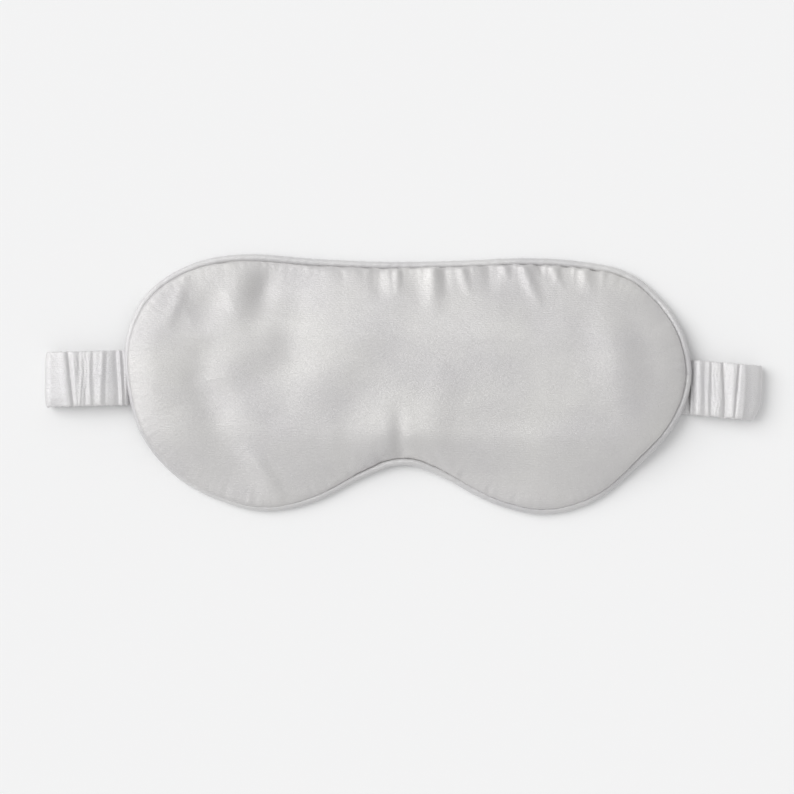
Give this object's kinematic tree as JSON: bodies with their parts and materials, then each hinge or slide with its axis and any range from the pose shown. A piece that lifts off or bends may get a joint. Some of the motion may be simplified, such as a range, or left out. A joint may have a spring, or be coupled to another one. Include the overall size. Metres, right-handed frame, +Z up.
{
  "type": "sleep eye mask",
  "caption": "Padded satin sleep eye mask with corded piping and a gathered elastic strap, lying flat on its own strap.",
  "frame": {"origin": "middle of the footprint, on the surface that the mask lies on, under the middle of the strap", "axes": "+X along the strap towards the strap's right end as seen from above, +Y towards the brow edge, +Z up out of the outer face"},
  "size_m": [0.2662, 0.0954, 0.011],
  "materials": {
    "face_silk": "satin",
    "skin_silk": "satin",
    "piping_silk": "satin",
    "strap_silk": "satin",
    "wadding": "matte",
    "lining": "matte",
    "cord": "matte",
    "elastic": "ribbed",
    "thread": "satin"
  },
  "bodies": {
    "strap_rear_middle": {"sleeve_rear_middle": "strap_silk", "elastic_rear_middle": "elastic"},
    "mask": {"front_panel": "face_silk", "wadding": "wadding", "blackout_lining": "lining", "back_panel": "skin_silk", "piping_cover": "piping_silk", "piping_cord": "cord", "seam_thread": "thread", "strap_end_left": "elastic", "strap_end_right": "elastic", "strap_tack_left": "thread", "strap_tack_right": "thread"},
    "strap_rear_left": {"sleeve_rear_left": "strap_silk", "elastic_rear_left": "elastic"},
    "strap_side_left": {"sleeve_side_left": "strap_silk", "elastic_side_left": "elastic", "sleeve_fold_left": "strap_silk", "elastic_fold_left": "elastic"},
    "strap_tab_left": {"sleeve_tab_left": "strap_silk", "elastic_tab_left": "elastic"},
    "strap_rear_right": {"sleeve_rear_right": "strap_silk", "elastic_rear_right": "elastic"},
    "strap_side_right": {"sleeve_side_right": "strap_silk", "elastic_side_right": "elastic", "sleeve_fold_right": "strap_silk", "elastic_fold_right": "elastic"},
    "strap_tab_right": {"sleeve_tab_right": "strap_silk", "elastic_tab_right": "elastic"}
  },
  "joints": [
    {"name": "strap_open", "type": "hinge", "parent": "strap_tab_left", "child": "mask", "pos_m": [-0.1037, 0, 0.003], "axis": [0, 1, 0], "range_deg": [0, 67.43]},
    {"name": "rear_lift_left", "type": "hinge", "parent": "strap_rear_middle", "child": "strap_rear_left", "pos_m": [-0.04, 0, 0.0024], "axis": [0, 1, 0], "range_deg": [0, 30.05]},
    {"name": "side_lift_left", "type": "hinge", "parent": "strap_rear_left", "child": "strap_side_left", "pos_m": [-0.105, 0, 0.0024], "axis": [0, 1, 0], "range_deg": [0, 16.1]},
    {"name": "fold_open_left", "type": "hinge", "parent": "strap_side_left", "child": "strap_tab_left", "pos_m": [-0.1303, 0, 0.0027], "axis": [0, -1, 0], "range_deg": [0, 113.53], "deforming": ["sleeve_fold_left", "elastic_fold_left"]},
    {"name": "rear_lift_right", "type": "hinge", "parent": "strap_rear_middle", "child": "strap_rear_right", "pos_m": [0.04, 0, 0.0024], "axis": [0, -1, 0], "range_deg": [0, 32.05]},
    {"name": "side_lift_right", "type": "hinge", "parent": "strap_rear_right", "child": "strap_side_right", "pos_m": [0.105, 0, 0.0024], "axis": [0, -1, 0], "range_deg": [0, 13.7]},
    {"name": "fold_open_right", "type": "hinge", "parent": "strap_side_right", "child": "strap_tab_right", "pos_m": [0.1303, 0, 0.0027], "axis": [0, 1, 0], "range_deg": [0, 120.51], "deforming": ["sleeve_fold_right", "elastic_fold_right"]}
  ],
  "couplings": [
    {"joint": "rear_lift_left", "follows": "strap_open", "ratio": 0.44494},
    {"joint": "side_lift_left", "follows": "strap_open", "ratio": 0.23805},
    {"joint": "fold_open_left", "follows": "strap_open", "ratio": 1.683},
    {"joint": "rear_lift_right", "follows": "strap_open", "ratio": 0.4746},
    {"joint": "side_lift_right", "follows": "strap_open", "ratio": 0.20244},
    {"joint": "fold_open_right", "follows": "strap_open", "ratio": 1.7866}
  ]
}
